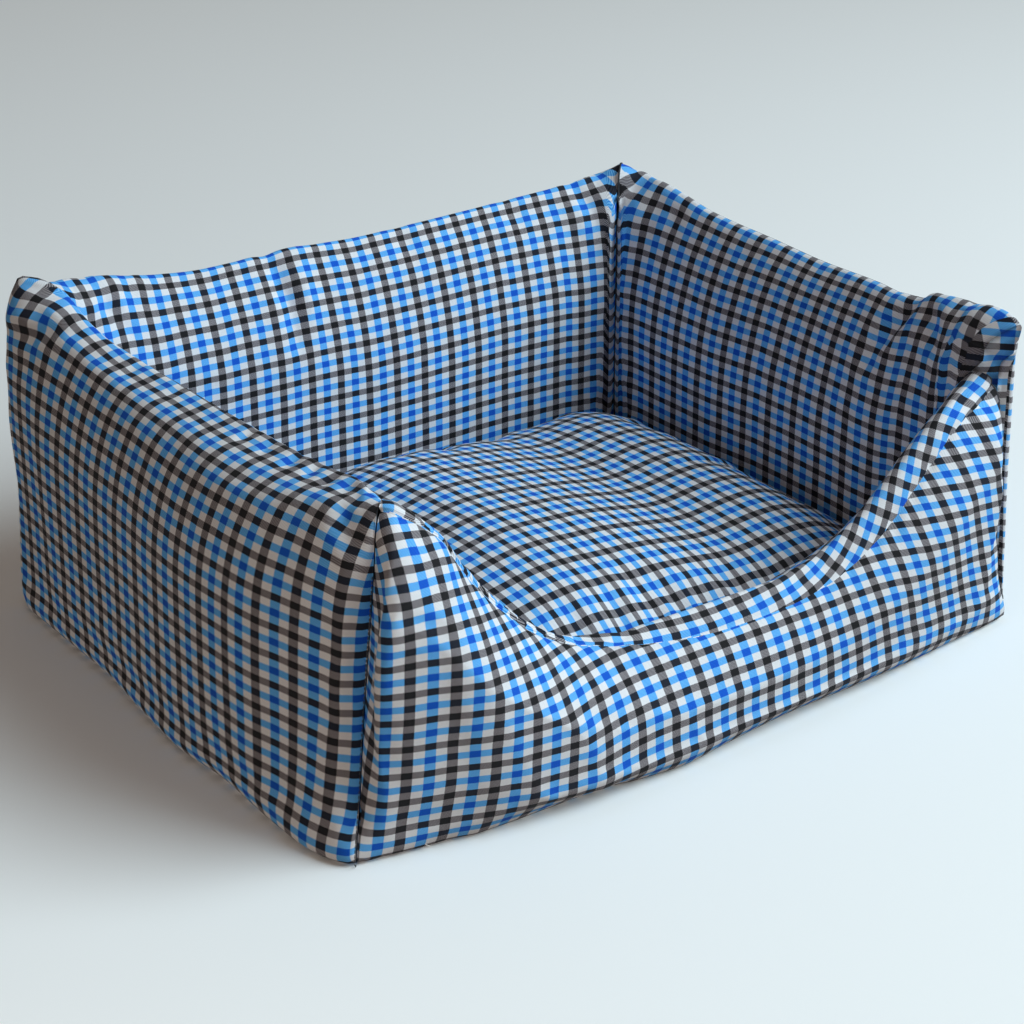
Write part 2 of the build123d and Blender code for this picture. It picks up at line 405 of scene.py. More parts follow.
def flatten(world, local=None, panel="round", rounds=240):
    """Flat cloth place of an open grid of points, rows along the wall.

    The first guess keeps the threads of a wall level on its faces: the outer face's in the
    "outer" panel, the inner face's in the "inner" one, and both in a "round" panel.
    """
    rows, columns = world.shape[:2]
    if local is None:
        middle = columns // 2
        across = lengths(np.diff(world, axis=1))
        v = np.concatenate([np.zeros((rows, 1)), np.cumsum(across, 1)], 1)
        v -= v[:, middle : middle + 1]
        gaps = lengths(np.diff(world, axis=0)).mean(1)
        u = np.concatenate([[0], np.cumsum(gaps)])
        u = np.repeat((u - u.mean())[:, None], columns, 1)
    else:
        across = lengths(np.diff(local[:, :, 1:], axis=1))
        arc = np.concatenate([np.zeros((rows, 1)), np.cumsum(across, 1)], 1)
        raised = local[:, :, 2] > UNDER + FOOT_HEIGHT
        row = np.arange(rows)
        first = np.argmax(raised, 1)
        last = columns - 1 - np.argmax(raised[:, ::-1], 1)
        outer_foot, inner_foot = steady(arc[row, first]), steady(arc[row, last])
        from_outer = arc - outer_foot[:, None]
        from_inner = arc - inner_foot[:, None] + (inner_foot - outer_foot).mean()
        share = {"outer": np.zeros(columns), "inner": np.ones(columns)}.get(panel)
        if share is None:
            share = step(RIDGE_AT - MEETING, RIDGE_AT + MEETING, np.arange(columns))
        v = from_outer * (1 - share) + from_inner * share
        gap = lengths(np.diff(local, axis=0))
        level = lengths(np.diff(local[:, :, :2], axis=0))
        ahead = np.maximum(level, 0.3 * gap)
        u = np.concatenate([np.zeros((1, columns)), np.cumsum(ahead, 0)])
        u += (local[:, :, 0] - u)[rows // 2]
    guess = np.stack([u, v], 2)
    flat = guess.copy()
    edges = grid_edges(rows, columns)
    for _ in range(FLAT_PASSES):
        flat = relax_flat(world.reshape(-1, 3), flat.reshape(-1, 2), edges, rounds // FLAT_PASSES)
        flat = guess + even_out(flat.reshape(rows, columns, 2) - guess)
    return flat


# ---------------------------------------------------------------- meshes
def lay_cloth(mesh, uvs):
    """Store the flat cloth place of each face corner."""
    layer = mesh.uv_layers.new(name="cloth")
    layer.data.foreach_set("uv", (np.asarray(uvs) * MM).ravel())


def new_mesh(name, vertices, faces, uvs=None):
    """Mesh object from millimetre points; uvs is one flat place for each face corner."""
    mesh = bpy.data.meshes.new(name)
    mesh.from_pydata((np.asarray(vertices) * MM).tolist(), [], faces)
    if uvs is not None:
        lay_cloth(mesh, uvs)
    mesh.polygons.foreach_set("use_smooth", [True] * len(mesh.polygons))
    mesh.update()
    obj = bpy.data.objects.new(name, mesh)
    bpy.context.collection.objects.link(obj)
    return obj


def coordinates(mesh):
    """Places of a mesh's vertices, in metres."""
    co = np.empty(len(mesh.vertices) * 3)
    mesh.vertices.foreach_get("co", co)
    return co.reshape(-1, 3)


PUFF_FRAMES = 20
CLOTH_STIFFNESS = 12.0
CLOTH_BENDING = 0.4
WALL_PRESSURE = 2.5
CLOTH_DAMPING = 8


def puff(obj, pins, pressure, grow, cap):
    """Fill a piece with Blender's cloth pressure; no point moves further than the cap (mm)."""
    before = coordinates(obj.data)
    group = obj.vertex_groups.new(name="pin")
    for weight in sorted(set(np.round(pins, 2))):
        if weight > 0:
            chosen = np.nonzero(np.round(pins, 2) == weight)[0]
            group.add(chosen.tolist(), float(weight), "REPLACE")
    cloth = obj.modifiers.new("Cloth", "CLOTH")
    settings = cloth.settings
    settings.quality = 4
    settings.mass = 0.2
    settings.tension_stiffness = CLOTH_STIFFNESS
    settings.compression_stiffness = CLOTH_STIFFNESS
    settings.shear_stiffness = CLOTH_STIFFNESS * 0.35
    settings.bending_stiffness = CLOTH_BENDING
    settings.tension_damping = settings.compression_damping = CLOTH_DAMPING
    settings.shear_damping = CLOTH_DAMPING
    settings.air_damping = 2
    settings.vertex_group_mass = "pin"
    settings.use_pressure = True
    settings.uniform_pressure_force = pressure
    settings.shrink_min = -grow
    settings.effector_weights.gravity = 0
    cloth.collision_settings.use_collision = False
    cloth.collision_settings.use_self_collision = False
    cloth.point_cache.frame_start = 1
    cloth.point_cache.frame_end = PUFF_FRAMES
    scene = bpy.context.scene
    for number in range(1, PUFF_FRAMES + 1):
        scene.frame_set(number)
    result = obj.evaluated_get(bpy.context.evaluated_depsgraph_get()).to_mesh()
    move = coordinates(result) - before
    length = lengths(move, keep=True)
    limit = cap * MM
    move *= limit * np.tanh(length / limit) / np.maximum(length, 1e-9)
    obj.modifiers.remove(cloth)
    scene.frame_set(1)
    obj.data.vertices.foreach_set("co", (before + move).ravel())
    obj.data.update()


def subdivide(obj):
    mod = obj.modifiers.new("Subdivision", "SUBSURF")
    mod.levels = mod.render_levels = 1
    mod.uv_smooth = "PRESERVE_BOUNDARIES"
    mod.boundary_smooth = "PRESERVE_CORNERS"


def grid_faces(rings, around):
    """Quads of a closed tube of rings."""
    faces = []
    for i in range(rings - 1):
        a, b = i * around, (i + 1) * around
        for j in range(around):
            k = (j + 1) % around
            faces.append((a + j, a + k, b + k, b + j))
    return faces


def end_cap(start, around):
    """Quads that close one ring straight across, folded about its bottom and top points."""
    faces = []
    for j in range(around // 2 - 1):
        a, b = start + j, start + j + 1
        c, d = start + (around - j - 1) % around, start + (around - j) % around
        if j == 0:
            faces.append((start, b, c))
        else:
            faces.append((a, b, c, d))
    top = start + around // 2
    faces.append((top - 1, top, top + 1))
    return faces


# Folds and puckers: (points through which the fold runs, depth, width), in bed coordinates.
FOLDS = {
    "left": [
        ([(-326, 224, 236), (-323, 203, 242), (-313, 188, 248), (-301, 171, 256),
          (-287, 160, 260)], 4, 6),
        ([(-318, 214, 262), (-322, 200, 255), (-320, 184, 256)], -3, 7),
        ([(-300, 224, 254), (-308, 216, 240)], -8, 13),
        ([(-297, -217, 248), (-301, -224, 238), (-303, -231, 226)], 6, 7),
        ([(-284, -224, 247), (-289, -236, 238)], 2.5, 5),
        ([(-279, -62, 247), (-262, -57, 232)], 2.5, 4),
        ([(-278, -90, 248), (-261, -83, 234)], 2.0, 4),
        ([(-279, -122, 248), (-262, -117, 231)], 3.0, 5),
        ([(-278, -148, 248), (-261, -140, 233)], 2.5, 4),
        ([(-278, -170, 248), (-262, -166, 232)], 3.0, 4),
        ([(-277, -192, 247), (-263, -184, 230)], 3.0, 5),
        ([(-279, 40, 248), (-262, 44, 236)], 1.5, 5),
        ([(-279, 92, 249), (-263, 98, 238)], 1.5, 5),
        ([(-334, -60, 30), (-331, 40, 26), (-322, 120, 24)], 1.5, 12),
    ],
    "back": [
        ([(-70, 238, 248), (-66, 214, 236), (-60, 202, 207), (-62, 200, 180)], 5, 8),
        ([(-40, 236, 247), (-44, 212, 232), (-46, 202, 214)], -2, 10),
        ([(-238, 232, 262), (-230, 212, 244), (-214, 203, 222)], 3, 7),
        ([(-205, 230, 257), (-203, 210, 240)], 2, 6),
        ([(236, 236, 256), (243, 216, 240), (248, 206, 216)], 3, 7),
        ([(170, 236, 249), (176, 212, 236)], 1.5, 7),
        ([(60, 238, 246), (64, 212, 232)], 1.5, 8),
    ],
    "right": [
        ([(298, -138, 240), (285, -132, 241), (279, -124, 230), (268, -114, 212),
          (262, -107, 190)], 8, 8),
        ([(284, -150, 246), (275, -166, 232), (266, -182, 212)], 3, 6),
        ([(290, 196, 258), (272, 204, 246), (264, 204, 226)], 4, 7),
        ([(284, 150, 250), (266, 152, 234)], 2, 6),
        ([(284, 60, 240), (262, 66, 224)], 1.5, 8),
    ],
    "front": [
        ([(-290, -238, 30), (-283, -247, 14), (-268, -256, 5)], 4, 5),
        ([(96, -266, 86), (104, -258, 108)], 0.9, 4),
        ([(121, -265, 92), (126, -256, 114)], 1.0, 4),
        ([(146, -262, 100), (150, -254, 122)], 1.0, 4),
        ([(166, -260, 112), (172, -252, 134)], 1.2, 4),
        ([(187, -257, 128), (190, -250, 150)], 1.0, 4),
        ([(206, -254, 146), (209, -246, 167)], 1.2, 4),
        ([(230, -249, 162), (232, -241, 182)], 1.0, 4),
        ([(252, -243, 176), (253, -236, 196)], 1.0, 4),
        ([(60, -266, 82), (70, -260, 100)], 0.8, 5),
        ([(-268, -246, 226), (-256, -252, 212)], 2.0, 5),
        ([(284, -236, 150), (276, -243, 128)], 2.0, 8),
    ],
}


FOLD_STEP = 6  # spacing of the points that carry a fold over the cloth


def outward_normals(points):
    """Directions out of a tube of rings."""
    du = np.gradient(points, axis=0)
    dv = np.roll(points, -1, 1) - np.roll(points, 1, 1)
    normal = np.cross(du, dv)
    normal /= np.maximum(lengths(normal, keep=True), 1e-9)
    middle = points.mean(1, keepdims=True)
    return -normal if np.sum(normal * (points - middle)) < 0 else normal


def press(points, folds):
    """Push folds into rings of points, along their normals."""
    normal = outward_normals(points)
    result = points.copy()
    for line, depth, width in folds:
        line = np.array(line, float)
        steps = int(np.linalg.norm(line[-1] - line[0]) / FOLD_STEP)
        line = resample(line, max(steps, len(line)))
        rows = points.reshape(-1, 3)
        line = rows[[np.argmin(np.sum((rows - p) ** 2, 1)) for p in line]]
        line = line[np.concatenate([[True], lengths(np.diff(line, axis=0)) > 0.5])]
        gaps = lengths(np.diff(line, axis=0))
        start = running(line)
        best = np.full(points.shape[:2], 1e9)
        where = np.zeros(points.shape[:2])
        for k, gap in enumerate(gaps):
            run = line[k + 1] - line[k]
            t = np.clip(np.sum((points - line[k]) * run, 2) / gap**2, 0, 1)
            distance = lengths(points - line[k] - t[..., None] * run)
            closer = distance < best
            best = np.where(closer, distance, best)
            where = np.where(closer, (start[k] + t * gap) / start[-1], where)
        taper = 0.35 + 0.65 * np.sin(np.pi * np.clip(where, 0.08, 0.92))
        dent = bump(best, 0, width) - 0.3 * bump(best, 1.9 * width, width)
        result -= normal * (depth * taper * dent)[..., None]
    return result


def dome_rings(ring, bulge):
    """Two smaller rings that round off the top of an open wall end (ring is along, out, height)."""
    twin = ring[(-np.arange(AROUND)) % AROUND]
    middle = (ring + twin) / 2
    crown = ring[RIDGE_AT, 2]
    open_part = step(208, 226, ring[:, 2])
    rings = []
    for keep, push, drop in ((0.88, 0.5, 0.07), (0.50, 0.95, 0.26)):
        inner = middle + (ring - middle) * keep
        inner[:, 0] -= bulge * push * open_part
        inner[:, 2] -= drop * np.maximum(ring[:, 2] - (crown - 34), 0) * 0.8
        rings.append(inner)
    return rings[::-1]


def warp_cloth(spec, flat, local):
    """Stretch and skew of the check where the cloth was pulled when it was sewn and stuffed."""
    flat /= np.array(spec["stretch"])
    if "lean" in spec:
        flat[..., 0] += smooth(spec["lean"], local[..., 0]) * np.maximum(local[..., 2] - 30, 0)
        flat[..., 1] += smooth(spec["dip"], local[..., 0])


def closed_tube(rings):
    """Faces of a tube of rings, and the faces that close its two ends."""
    last = (rings - 1) * AROUND
    caps = end_cap(0, AROUND) + [face[::-1] for face in end_cap(last, AROUND)]
    return grid_faces(rings, AROUND), caps


def join_up(grid):
    """Rings with their first point again at the end."""
    return np.concatenate([grid, grid[:, :1]], 1)


def stuff(side, spec, points):
    """Fill a wall with its foot and its ends held: bed places of its rings."""
    rings = spec["rings"]
    faces, caps = closed_tube(rings)
    draft = new_mesh(side + "_draft", turn(spec, points).reshape(-1, 3), faces + caps)
    low = 1 - step(4, 26, points[:, :, 2])
    end = spec["half"] - WALL / 2
    ends = 1 - step(0, 16, end - abs(np.linspace(-end, end, rings)))
    pins = np.clip(np.maximum(low, ends[:, None]), 0, 1)
    puff(draft, pins.ravel(), WALL_PRESSURE, spec["grow"], spec["cap"])
    shaped = (coordinates(draft.data) / MM).reshape(rings, AROUND, 3)
    bpy.data.objects.remove(draft)
    return shaped


INNER_PANEL_SHIFT = np.array([3.0, 7.0])  # the two panels' checks don't match at the seam


def make_wall(side, spec):
    """One stuffed wall as a closed mesh with the flat place of its cloth."""
    rings = spec["rings"]
    calm = stuff(side, spec, wall_grid(spec))
    shaped = press(calm, FOLDS[side])
    calm, shaped = (turn(spec, hold_in(spec, turn(spec, grid))) for grid in (calm, shaped))
    # The cloth is laid flat from the calm shape, so that folds don't bend its threads.
    closed = join_up(calm)
    local = turn(spec, closed)
    if "seam" in spec:
        seam = RIDGE_AT - SEAM_STEPS
        groove(shaped, seam)
        uv_outer = np.zeros((rings, AROUND + 1, 2))
        uv_outer[:, : seam + 1] = flatten(closed[:, : seam + 1], local[:, : seam + 1], "outer")
        uv_inner = uv_outer.copy()
        uv_inner[:, seam:] = flatten(closed[:, seam:], local[:, seam:], "inner")
        uv_inner[:, seam:] += INNER_PANEL_SHIFT
        warp_cloth(spec, uv_inner, local)
    else:
        seam = AROUND
        uv_outer = uv_inner = flatten(closed, local)
    warp_cloth(spec, uv_outer, local)
    dome = "dome" in spec
    if dome:
        local = turn(spec, shaped)
        shaped = turn(spec, np.concatenate([dome_rings(local[0], spec["dome"]), local]))
        round_end = join_up(shaped)[:3]
        turned = uv_outer[:1].copy()
        turned[..., 0] -= lengths(round_end[1] - round_end[2])
        uv_outer = np.concatenate([turned, turned, uv_outer])
        rings += 2
        end_panel = turn(spec, round_end)[..., 1:]
    faces, caps = closed_tube(rings)
    obj = new_mesh(side + "_wall", shaped.reshape(-1, 3), faces + caps)
    uvs = []
    for i in range(rings - 1):
        for j in range(AROUND):
            source = uv_outer if j < seam else uv_inner
            if dome and i == 0:
                source = end_panel
            uvs += [source[i, j], source[i, j + 1], source[i + 1, j + 1], source[i + 1, j]]
    for face in caps:
        source = end_panel if dome and face[0] < AROUND else uv_outer
        uvs += [source[v // AROUND, v % AROUND] for v in face]
    lay_cloth(obj.data, uvs)
    subdivide(obj)
    return obj, shaped


def groove(shaped, seam):
    """Sink the stitched line between two cloth panels."""
    normal = outward_normals(shaped)
    for offset, depth in ((0, 1.9), (1, 0.5), (-1, 0.3), (2, -0.4)):
        shaped[:, seam + offset] -= depth * normal[:, seam + offset]


# ---------------------------------------------------------------- cushion
RIM_PIN = 0.35


def pillow(name, cells, shape, turned=False, simulate=None):
    """Closed two-sided pad; shape(S, T) gives x, y, top and bottom heights in mm.

    simulate is (pressure, grow, cap) for puff, and turned swaps the check's two directions.
    """
    columns, rows = cells
    X, Y, top, bottom = shape(
        *np.meshgrid(np.linspace(-1, 1, columns), np.linspace(-1, 1, rows), indexing="ij")
    )
    upper = np.stack([X, Y, top], 2)
    lower = np.stack([X, Y, bottom], 2)
    rim = np.zeros((columns, rows), bool)
    rim[[0, -1], :] = True
    rim[:, [0, -1]] = True
    top_index = np.arange(columns * rows).reshape(columns, rows)
    low_index = top_index.copy()
    inside = ~rim
    low_index[inside] = columns * rows + np.arange(inside.sum())
    vertices = np.concatenate([upper.reshape(-1, 3), lower[inside]])
    faces, corners = [], []
    for index, way in ((top_index, 1), (low_index, -1)):
        for i in range(columns - 1):
            for j in range(rows - 1):
                cell = [(i, j), (i + 1, j), (i + 1, j + 1), (i, j + 1)]
                cell = cell[:1] + cell[1:][::way]
                faces.append(tuple(int(index[c]) for c in cell))
                corners += cell
    obj = new_mesh(name, vertices, faces)
    if simulate:
        pins = np.zeros(len(vertices))
        pins[columns * rows :] = 1
        pins[top_index[rim]] = RIM_PIN
        puff(obj, pins, *simulate)
    flat = flatten((coordinates(obj.data) / MM)[top_index], rounds=160)
    lay_cloth(obj.data, [flat[c][::-1] if turned else flat[c] for c in corners])
    subdivide(obj)
    return obj


def cushion_shape(S, T):
    pull_x = 1 - 0.035 * (1 - T**2) * abs(S) ** 3
    pull_y = 1 - 0.045 * (1 - S**2) * abs(T) ** 3
    X, Y = 255.0 * S * pull_x, 195.0 * T * pull_y
    front_edge = abs(T) ** np.where(T < 0, 1.95, 3.4)
    edge = (1 - abs(S) ** 3.4) * (1 - front_edge)
    puffed = np.clip(edge, 0, 1) ** np.where(T < 0, 0.50, 0.42)
    rim = np.maximum(abs(S), abs(T))
    angle = np.arctan2(Y, X)
    gather = np.sin(37 * angle + 2 * np.sin(5 * angle)) + 0.6 * np.sin(61 * angle + 1.3)
    crown = -28 - 18 * (-T)
    relief = 8 * bump(X, crown, 55) - 5 * bump(X, -118, 40) - 8 * bump(X, 112, 40)
    relief += 4 * bump(X, 190, 32) - 7 * step(205, 250, X)
    relief += 2.2 * bump(X, 30, 26) * bump(Y, -60, 70) - 2.5 * bump(X, -70, 20) * bump(Y, 80, 80)
    seam = FLOOR_TOP + 28 + 6 * (1 - puffed)
    top = seam + 46 * puffed + relief * puffed + 1.1 * gather * bump(rim, 0.93, 0.07)
    bottom = seam - (seam - FLOOR_TOP - 1.2) * puffed
    return X, Y, top, bottom


def floor_pad_shape(S, T):
    X, Y = 257.0 * S, 197.0 * T
    edge = np.clip((1 - abs(S) ** 14) * (1 - abs(T) ** 14), 0, 1) ** 0.5
    wave = 0.25 * np.sin(X / 31 + np.sin(Y / 47)) * np.sin(Y / 38)
    seam = UNDER + 3.2
    top = seam + (FLOOR_TOP - 0.5 - seam) * edge + wave * edge
    bottom = seam - (seam - UNDER) * edge
    return X, Y, top, bottom


def base_shape(S, T):
    X, Y = S * (288 + 16 * (1 - T**2)), T * (230 + 22 * (1 - S**2))
    wave = 0.12 * np.sin(X / 23 + 2 * np.sin(Y / 60)) * np.sin(Y / 29)
    edge = np.clip((1 - abs(S) ** 60) * (1 - abs(T) ** 60), 0, 1) ** 0.5
    middle = BASE_TOP / 2
    top = middle + (middle - 0.15) * edge + wave * edge
    return X, Y, top, middle - (middle - 0.05) * edge


# ---------------------------------------------------------------- seams and threads
def directions(path):
    tangent = np.gradient(path, axis=0)
    return tangent / lengths(tangent, keep=True)


def rod_faces(count, sides):
    """Faces of a thin closed tube along a path."""
    start, end = tuple(range(sides))[::-1], tuple((count - 1) * sides + k for k in range(sides))
    return grid_faces(count, sides) + [start, end]


def sweep(name, path, across, widths, shift, sides=10):
    """Rounded strip along a path.

    across is the width direction, widths are (half width, half thickness), and shift is
    (sideways, outward).
    """
    tangent = directions(path)
    wide = np.asarray(across, float) - tangent * np.sum(tangent * across, 1, keepdims=True)
    wide /= lengths(wide, keep=True)
    out = np.cross(tangent, wide)
    centre = path + wide * shift[0] + out * shift[1]
    angle = np.linspace(0, 2 * np.pi, sides, endpoint=False)
    taper = np.ones(len(path))
    taper[[0, -1]] = 0.55
    ring = (
        wide[:, None] * (np.cos(angle) * widths[0])[None, :, None] * taper[:, None, None]
        + out[:, None] * (np.sin(angle) * widths[1])[None, :, None] * taper[:, None, None]
    )
    points = centre[:, None] + ring
    count = len(path)
    run = running(path)
    girth = 2 * np.pi * max(widths)
    uvs = []
    for i in range(count - 1):
        for j in range(sides):
            for a, b in ((i, j), (i, j + 1), (i + 1, j + 1), (i + 1, j)):
                uvs.append((girth * b / sides, run[a]))
    uvs += [(girth * k / sides, 0.0) for k in range(sides)][::-1]
    uvs += [(girth * k / sides, run[-1]) for k in range(sides)]
    return new_mesh(name, points.reshape(-1, 3), rod_faces(count, sides), uvs)


def thread(path, radius, sides=6):
    """Points and faces of one thin thread."""
    tangent = directions(path)
    slant = np.array([0.31, 0.17, 0.93])  # along no thread, so it gives every thread a side
    wide = np.cross(tangent, slant)
    wide /= np.maximum(lengths(wide, keep=True), 1e-9)
    out = np.cross(tangent, wide)
    angle = np.linspace(0, 2 * np.pi, sides, endpoint=False)
    size = np.full(len(path), radius)
    size[[0, -1]] = radius * 0.5
    points = path[:, None] + size[:, None, None] * (
        wide[:, None] * np.cos(angle)[None, :, None] + out[:, None] * np.sin(angle)[None, :, None]
    )
    return points.reshape(-1, 3), rod_faces(len(path), sides)


def threads(name, paths, radius):
    """One mesh of many threads."""
    vertices, faces = [], []
    start = 0
    for path in paths:
        points, own = thread(path, radius)
        vertices.append(points)
        faces += [tuple(v + start for v in face) for face in own]
        start += len(points)
    return new_mesh(name, np.concatenate(vertices), faces)


def stitches(path, length, pitch, lift):
    """Short stitches along a path, each a little bowed away from the cloth."""
    run = running(path)
    lines = []
    for start in np.arange(4, run[-1] - length, pitch):
        at = np.linspace(start, start + length, 5)
        line = np.stack([np.interp(at, run, path[:, k]) for k in range(3)], 1)
        line += lift * np.array([0.1, 0.75, 1.0, 0.75, 0.1])[:, None]
        lines.append(line)
    return lines


# ---------------------------------------------------------------- materials
class Nodes:
    """Short way to write a node tree."""

    def __init__(self, name):
        self.material = bpy.data.materials.new(name)
        self.material.use_nodes = True
        self.tree = self.material.node_tree
        self.shader = self.tree.nodes["Principled BSDF"]

    def node(self, kind, **inputs):
        node = self.tree.nodes.new(kind)
        for key, value in inputs.items():
            setattr(node, key, value)
        return node

    def link(self, source, target):
        self.tree.links.new(source, target)

    def feed(self, node, index, value):
        if isinstance(value, bpy.types.NodeSocket):
            self.link(value, node.inputs[index])
        else:
            node.inputs[index].default_value = value

    def math(self, operation, a, b=None, c=None, clamp=False):
        node = self.node("ShaderNodeMath", operation=operation, use_clamp=clamp)
        for index, value in enumerate((a, b, c)):
            if value is not None:
                self.feed(node, index, value)
        return node.outputs[0]

    def mix(self, factor, a, b):
        node = self.node("ShaderNodeMix", data_type="RGBA")
        self.feed(node, 0, factor)
        self.feed(node, 6, a)
        self.feed(node, 7, b)
        return node.outputs[2]

    def noise(self, vector, scale, detail=2.0, rough=0.5):
        node = self.node("ShaderNodeTexNoise")
        self.link(vector, node.inputs["Vector"])
        node.inputs["Scale"].default_value = scale
        node.inputs["Detail"].default_value = detail
        node.inputs["Roughness"].default_value = rough
        return node.outputs["Fac"]

    def tint(self, colour, tone):
        """Base colour as a colour times a tone."""
        bright = self.node("ShaderNodeVectorMath", operation="SCALE")
        self.feed(bright, 0, colour)
        self.feed(bright, 3, tone)
        self.link(bright.outputs[0], self.shader.inputs["Base Color"])

    def bump(self, height, strength, distance):
        relief = self.node("ShaderNodeBump")
        relief.inputs["Strength"].default_value = strength
        relief.inputs["Distance"].default_value = distance
        self.link(height, relief.inputs["Height"])
        self.link(relief.outputs[0], self.shader.inputs["Normal"])


# Albedo of every kind of crossing, as (twill line that stands out, sunken twill line):
# white, white on blue, white on black, blue, blue on black, black. Where two colours cross, the
# two lines show the two yarns; in the white, blue and black squares the sunken line is the same
# colour darker, painted shade of the twill's groove.
WHITE = ((0.85, 0.85, 0.87, 1), (0.66, 0.66, 0.70, 1))
AZURE = ((0.19, 0.54, 0.93, 1), (0.040, 0.29, 0.80, 1))
GREY = ((0.36, 0.33, 0.35, 1), (0.026, 0.024, 0.029, 1))
BLUE = ((0.006, 0.125, 0.68, 1), (0.003, 0.070, 0.49, 1))
NAVY = ((0.018, 0.022, 0.038, 1), (0.007, 0.009, 0.016, 1))
BLACK = ((0.015, 0.014, 0.016, 1), (0.007, 0.0065, 0.008, 1))
PITCH_ALONG = 0.0307  # one repeat of the check
PITCH_ACROSS = 0.0213
TWILL = 0.00131  # one twill line
YARN_TURNS = 2 * math.pi * 3050  # one wave for each yarn
STRIPE_BLUR = 0.008


def check_cloth(name, shift=(0.0, 0.0)):
    """Yarn-dyed 2/2 twill check: white, blue, white, black both ways."""
    n = Nodes(name)
    uv = n.node("ShaderNodeUVMap", uv_map="cloth").outputs[0]
    split = n.node("ShaderNodeSeparateXYZ")
    n.link(uv, split.inputs[0])
    u, v = split.outputs[0], split.outputs[1]
    jitter = n.math("MULTIPLY", n.math("SUBTRACT", n.noise(uv, 900), 0.5), 0.0006)
    slow = n.math("MULTIPLY", n.math("SUBTRACT", n.noise(uv, 22), 0.5), 0.0012)
    u2 = n.math("ADD", n.math("ADD", u, jitter), slow)
    v2 = n.math("ADD", n.math("ADD", v, jitter), slow)

    def phase(coordinate, period, offset):
        return n.math("FRACT", n.math("ADD", n.math("DIVIDE", coordinate, period), offset))

    def stripes(position, white, blue, black):
        ramp = n.node("ShaderNodeValToRGB")
        ramp.color_ramp.interpolation = "LINEAR"
        n.link(position, ramp.inputs[0])
        stops = [(0.0, white)]
        for edge, before, after in ((0.25, white, blue), (0.5, blue, white), (0.75, white, black)):
            stops += [(edge - STRIPE_BLUR, before), (edge + STRIPE_BLUR, after)]
        stops += [(1.0 - STRIPE_BLUR, black), (1.0, white)]
        elements = ramp.color_ramp.elements
        elements[0].position, elements[0].color = stops[0]
        elements[1].position, elements[1].color = stops[-1]
        for position, colour in stops[1:-1]:
            elements.new(position).color = colour
        return ramp.outputs[0]

    none, full = (0, 0, 0, 1), (1, 1, 1, 1)
    warp_at = phase(u2, PITCH_ALONG, shift[0])
    weft_at = phase(v2, PITCH_ACROSS, shift[1])
    in_blue = stripes(weft_at, none, full, none)
    in_black = stripes(weft_at, none, none, full)

    def crossings(k):
        on_white = stripes(warp_at, WHITE[k], AZURE[k], GREY[k])
        on_blue = stripes(warp_at, AZURE[k], BLUE[k], NAVY[k])
        on_black = stripes(warp_at, GREY[k], NAVY[k], BLACK[k])
        return n.mix(in_black, n.mix(in_blue, on_white, on_blue), on_black)

    diagonal = n.math("FRACT", n.math("DIVIDE", n.math("SUBTRACT", u2, v2), TWILL))
    wave = n.math("ABSOLUTE", n.math("SUBTRACT", diagonal, 0.5))
    over = n.math("MULTIPLY", n.math("SUBTRACT", wave, 0.18), 9.0, clamp=True)
    # The twill mask also picks the sunken line's colour: the second yarn in mixed squares, painted
    # shade in plain ones.
    colour = n.mix(over, crossings(1), crossings(0))
    fade = n.noise(uv, 14, 3)
    fleck = n.noise(uv, 520, 2)
    tone = n.math("ADD", n.math("MULTIPLY", fade, 0.12), 0.90)
    tone = n.math("ADD", tone, n.math("MULTIPLY", fleck, 0.08))
    n.tint(colour, tone)
    ends = n.math("SINE", n.math("MULTIPLY", u, YARN_TURNS))
    picks = n.math("SINE", n.math("MULTIPLY", v, YARN_TURNS))
    yarn = n.math("MULTIPLY", n.math("ADD", ends, picks), 0.12)
    fuzz = n.noise(uv, 1400, 2)
    height = n.math("ADD", n.math("ADD", over, yarn), n.math("MULTIPLY", fuzz, 0.5))
    n.bump(height, 0.4, 0.0002)
    rough = n.math("ADD", n.math("MULTIPLY", fuzz, 0.14), 0.76)
    n.link(rough, n.shader.inputs["Roughness"])
    n.shader.inputs["Sheen Weight"].default_value = 0.02
    n.shader.inputs["Sheen Roughness"].default_value = 0.5
    n.shader.inputs["Specular IOR Level"].default_value = 0.18
    return n.material


def base_cloth(name):
    """Black non-slip cloth: a fine weave with small round raised dots."""
    n = Nodes(name)
    place = n.node("ShaderNodeTexCoord").outputs["Object"]
    weave = n.noise(place, 900, 2)
    dust = n.noise(place, 11, 4)
    dots = n.node("ShaderNodeTexVoronoi")
    n.link(place, dots.inputs["Vector"])
    dots.inputs["Scale"].default_value = 160
    dots.inputs["Randomness"].default_value = 0.0
    dot = n.math("LESS_THAN", dots.outputs["Distance"], 0.3)
    shade = n.math("ADD", n.math("MULTIPLY", weave, 0.4), n.math("MULTIPLY", dust, 0.6))
    n.tint((0.035, 0.035, 0.038), n.math("ADD", shade, n.math("MULTIPLY", dot, 0.5)))
    n.link(n.math("ADD", n.math("MULTIPLY", weave, 0.2), 0.7), n.shader.inputs["Roughness"])
    n.bump(n.math("ADD", weave, dot), 0.5, 0.0004)
    return n.material


def thread_look(name, colour):
    """Twisted sewing thread; the dark one also colours the thin corner valley strips as painted
    shade.
    """
    n = Nodes(name)
    place = n.node("ShaderNodeTexCoord").outputs["Object"]
    twist = n.noise(place, 1600, 2)
    n.tint(colour, n.math("ADD", n.math("MULTIPLY", twist, 0.6), 0.7))
    n.shader.inputs["Roughness"].default_value = 0.6
    n.bump(twist, 0.3, 0.0001)
    return n.material


def dress(obj, material):
    obj.data.materials.clear()
    obj.data.materials.append(material)


# ---------------------------------------------------------------- build
def place(obj, material, body, slot, nodes, fill=None):
    dress(obj, material)
    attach(obj, body)
    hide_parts(*nodes)


